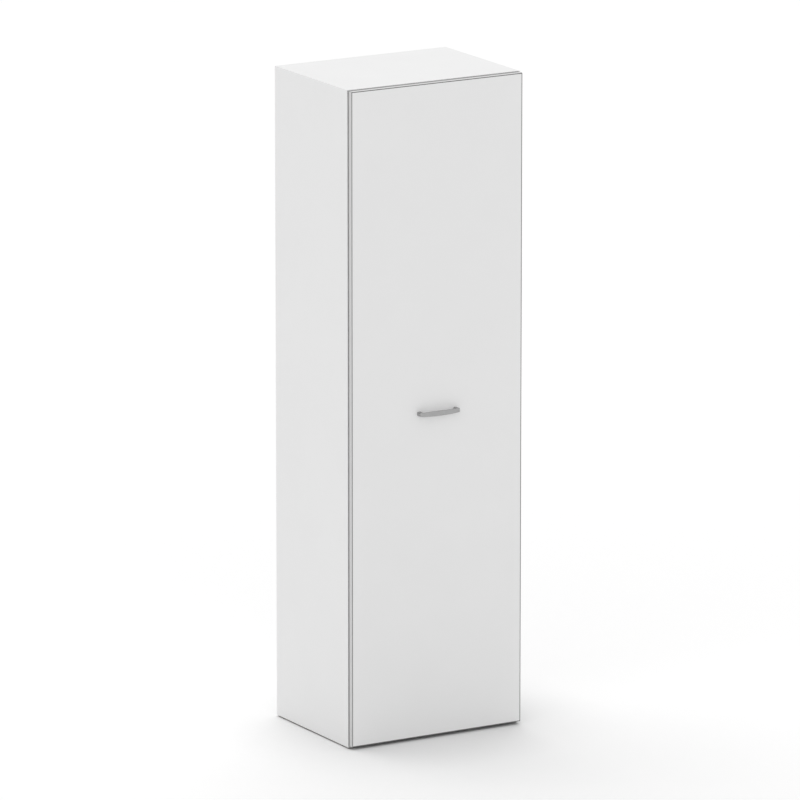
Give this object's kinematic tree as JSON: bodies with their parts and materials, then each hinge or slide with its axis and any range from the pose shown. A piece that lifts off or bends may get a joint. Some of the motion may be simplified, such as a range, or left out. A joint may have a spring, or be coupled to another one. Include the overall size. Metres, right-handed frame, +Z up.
{
  "type": "wardrobe",
  "caption": "Tall white wardrobe with a full-front swinging door, a bow handle, a hat shelf and a coat rail inside.",
  "frame": {"origin": "on the floor under the centre of the overall box, handle included", "axes": "+Z up, +Y from the door to the back, +X from left to right seen from the front"},
  "size_m": [0.6, 0.488, 2.04],
  "materials": {
    "white_board": "white melamine-faced chipboard, fine pearl grain",
    "back_board": "white-lacquered hardboard",
    "silver_edging": "silver-grey edging strip, satin",
    "zinc_fittings": "zinc-plated steel",
    "beech_dowel": "fluted beech",
    "white_plastic": "white moulded plastic",
    "glide_plastic": "dark grey moulded plastic",
    "rail_chrome": "chromed steel tube",
    "hinge_nickel": "nickel-plated steel",
    "magnet_ferrite": "dark sintered ferrite",
    "bumper_rubber": "clear soft silicone",
    "handle_metal": "satin nickel"
  },
  "bodies": {
    "carcass": {"left_side_panel": "white_board", "right_side_panel": "white_board", "top_panel": "white_board", "bottom_panel": "white_board", "hat_shelf": "white_board", "back_panel": "back_board", "left_side_edging": "silver_edging", "right_side_edging": "silver_edging", "top_edging": "silver_edging", "bottom_edging": "silver_edging", "shelf_edging": "silver_edging", "cam_housings": "zinc_fittings", "cam_bolts": "zinc_fittings", "back_screws": "zinc_fittings", "glide_nails": "zinc_fittings", "rail_socket_screws": "zinc_fittings", "catch_screws": "zinc_fittings", "hinge_plate_screws": "zinc_fittings", "hinge_arm_screws": "zinc_fittings", "dowels": "beech_dowel", "cam_caps": "white_plastic", "catch_housing": "white_plastic", "floor_glide_1": "glide_plastic", "floor_glide_2": "glide_plastic", "floor_glide_3": "glide_plastic", "floor_glide_4": "glide_plastic", "coat_rail": "rail_chrome", "rail_socket_left": "rail_chrome", "rail_socket_right": "rail_chrome", "hinge_arm_1": "hinge_nickel", "hinge_arm_2": "hinge_nickel", "hinge_arm_3": "hinge_nickel", "hinge_arm_4": "hinge_nickel", "hinge_plate_1": "hinge_nickel", "hinge_plate_2": "hinge_nickel", "hinge_plate_3": "hinge_nickel", "hinge_plate_4": "hinge_nickel", "catch_magnet": "magnet_ferrite"},
    "door": {"door_panel": "white_board", "door_edging_left": "silver_edging", "door_edging_right": "silver_edging", "door_edging_top": "silver_edging", "door_edging_bottom": "silver_edging", "hinge_cup_1": "hinge_nickel", "hinge_cup_2": "hinge_nickel", "hinge_cup_3": "hinge_nickel", "hinge_cup_4": "hinge_nickel", "hinge_pin_1": "hinge_nickel", "hinge_pin_2": "hinge_nickel", "hinge_pin_3": "hinge_nickel", "hinge_pin_4": "hinge_nickel", "hinge_cup_screws": "zinc_fittings", "strike_plate": "hinge_nickel", "strike_screws": "zinc_fittings", "door_bumpers": "bumper_rubber", "handle_bow": "handle_metal", "handle_screws": "zinc_fittings"}
  },
  "joints": [
    {"name": "door_hinge", "type": "hinge", "parent": "carcass", "child": "door", "pos_m": [0.2898, -0.208, 1.0235], "axis": [0, 0, 1], "range_deg": [0, 100]}
  ]
}
